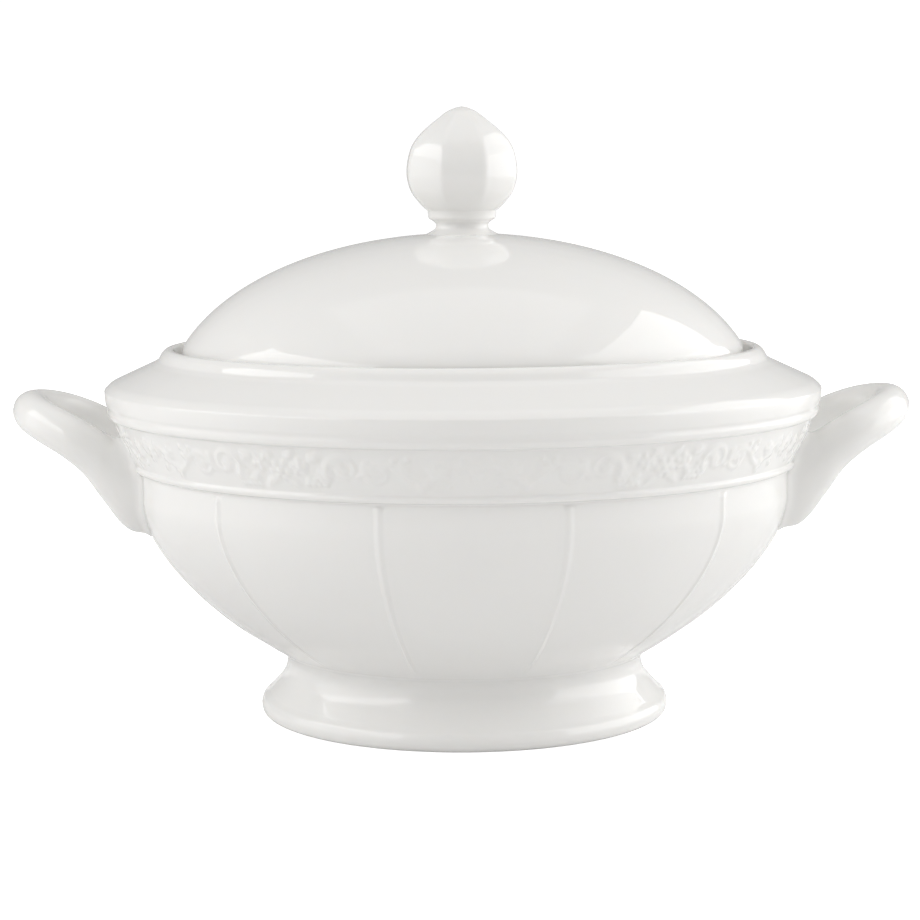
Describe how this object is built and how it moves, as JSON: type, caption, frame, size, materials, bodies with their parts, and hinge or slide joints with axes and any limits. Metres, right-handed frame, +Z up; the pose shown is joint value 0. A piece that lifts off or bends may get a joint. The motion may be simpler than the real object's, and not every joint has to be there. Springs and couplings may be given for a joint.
{
  "type": "soup tureen",
  "caption": "Round footed soup tureen in white glazed porcelain, with two loop handles and a lift-off domed lid with a bud-shaped knob.",
  "frame": {"origin": "on the resting plane of the foot, at the axis of the bowl", "axes": "+Z up the bowl's axis, towards the knob; +X along the line through both handles, towards the right handle; +Y towards the back"},
  "size_m": [0.3022, 0.24, 0.2046],
  "materials": {
    "glaze": "clear glossy glaze over white porcelain"
  },
  "bodies": {
    "bowl": {"bowl": "glaze", "foot": "glaze", "handle_left": "glaze", "handle_right": "glaze"},
    "lid": {"lid": "glaze", "knob": "glaze"}
  },
  "joints": [
    {"name": "lid_lift", "type": "slide", "parent": "bowl", "child": "lid", "axis": [0, 0, 1], "range_m": [0, 0.15]}
  ]
}
